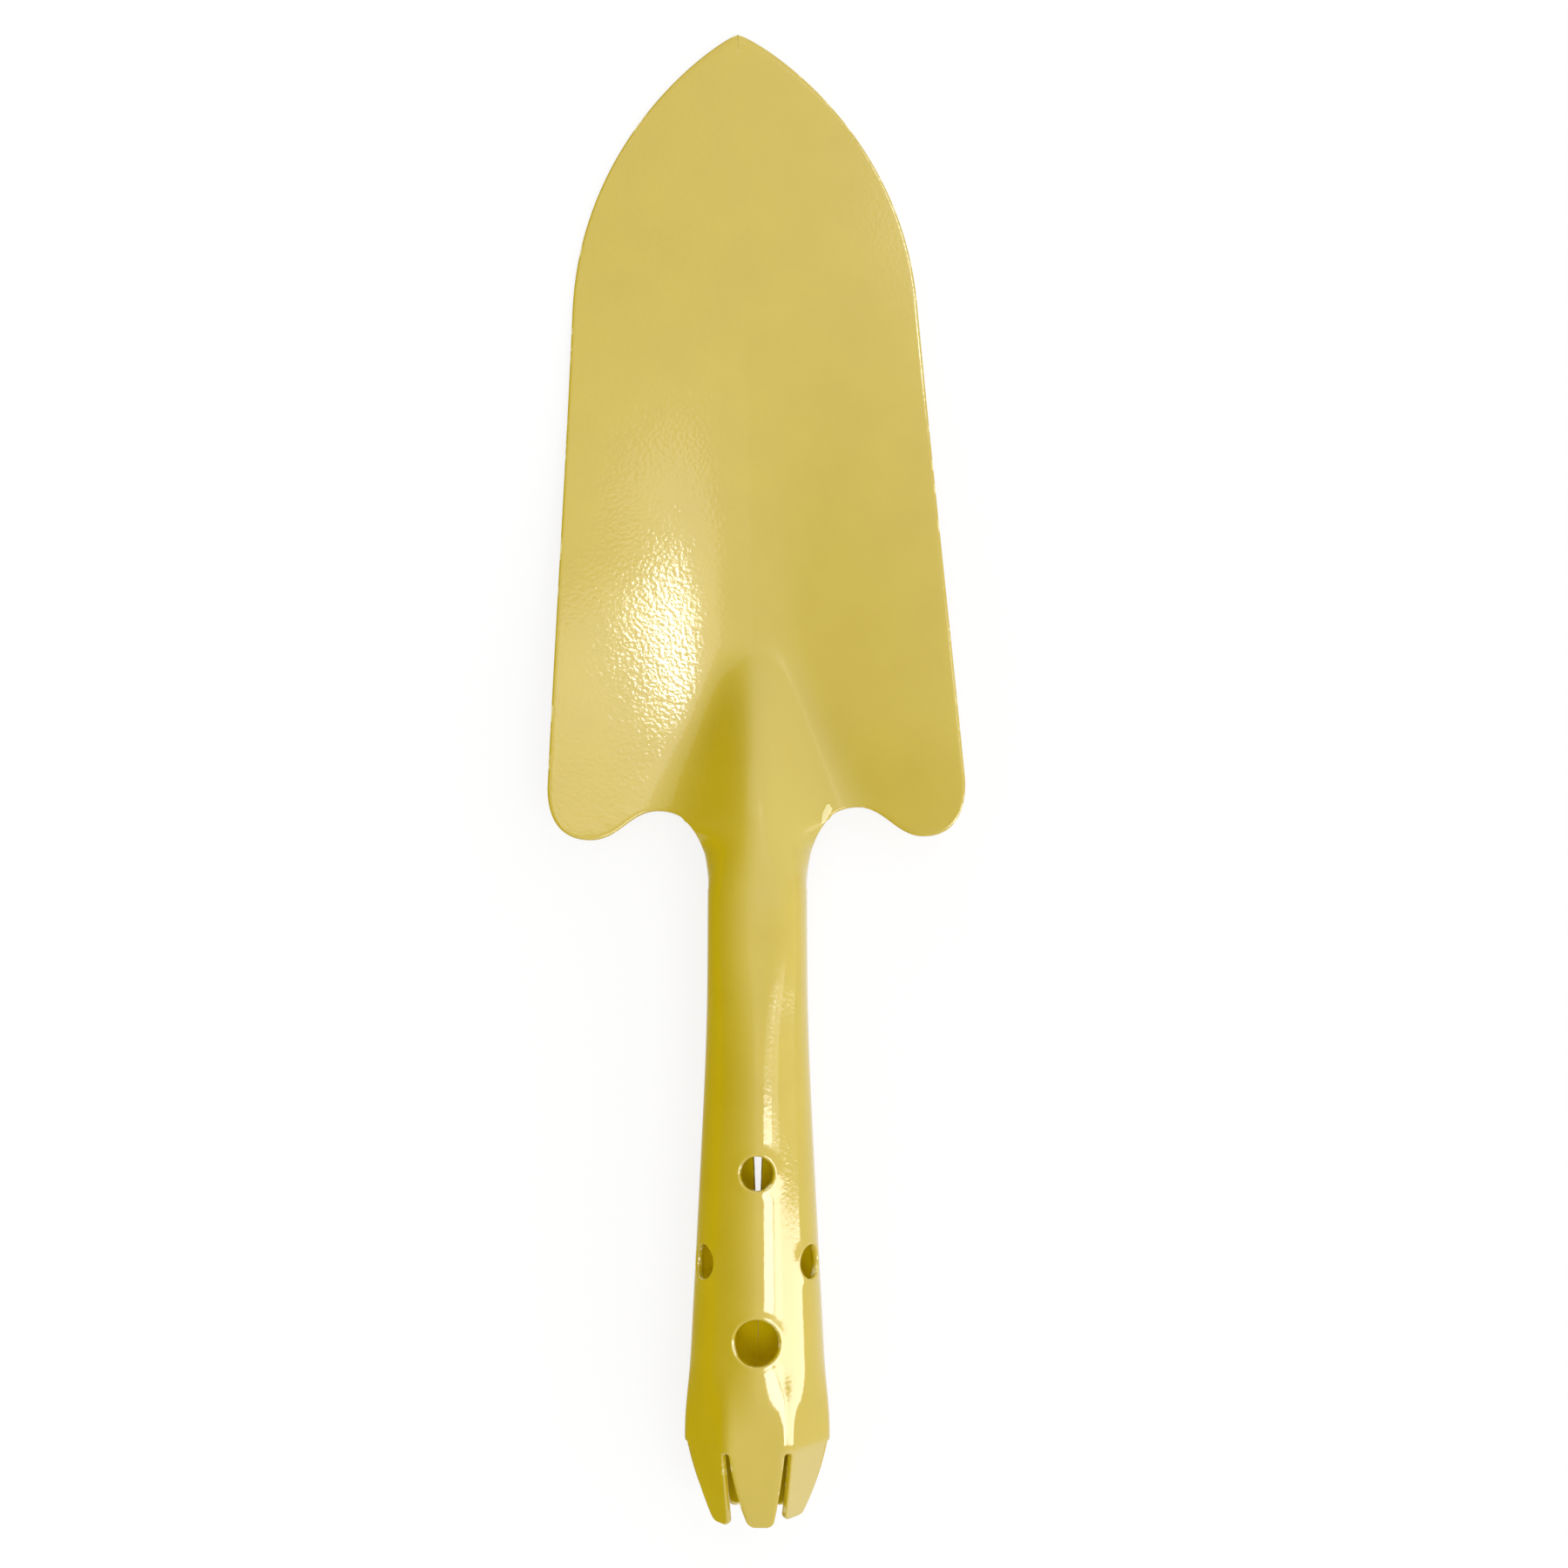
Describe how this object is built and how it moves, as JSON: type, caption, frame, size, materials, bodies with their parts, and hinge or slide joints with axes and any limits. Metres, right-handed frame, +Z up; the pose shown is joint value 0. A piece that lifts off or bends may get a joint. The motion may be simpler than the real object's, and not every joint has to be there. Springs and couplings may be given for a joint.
{
  "type": "garden trowel",
  "caption": "Garden hand shovel pressed from one steel sheet: pointed shallow blade, rolled hollow handle with a hanging hole and a fingered end.",
  "frame": {"origin": "middle of the underside of the bounding box, on the surface that the trowel lies on with its hollow side up", "axes": "+Y from the handle towards the blade's tip, +Z up out of the blade's hollow side, +X to the right seen from above with the tip away from the viewer"},
  "size_m": [0.078, 0.28, 0.0264],
  "materials": {
    "gold_enamel": "glossy yellow-gold stoved enamel on sheet steel, with a fine orange-peel texture"
  },
  "bodies": {
    "root": {"blade": "gold_enamel", "neck": "gold_enamel", "handle_tube": "gold_enamel", "finger_front": "gold_enamel", "finger_left_side_upper": "gold_enamel", "finger_right_side_upper": "gold_enamel", "finger_left_side_lower": "gold_enamel", "finger_right_side_lower": "gold_enamel", "finger_left_back": "gold_enamel", "finger_right_back": "gold_enamel"}
  },
  "joints": []
}
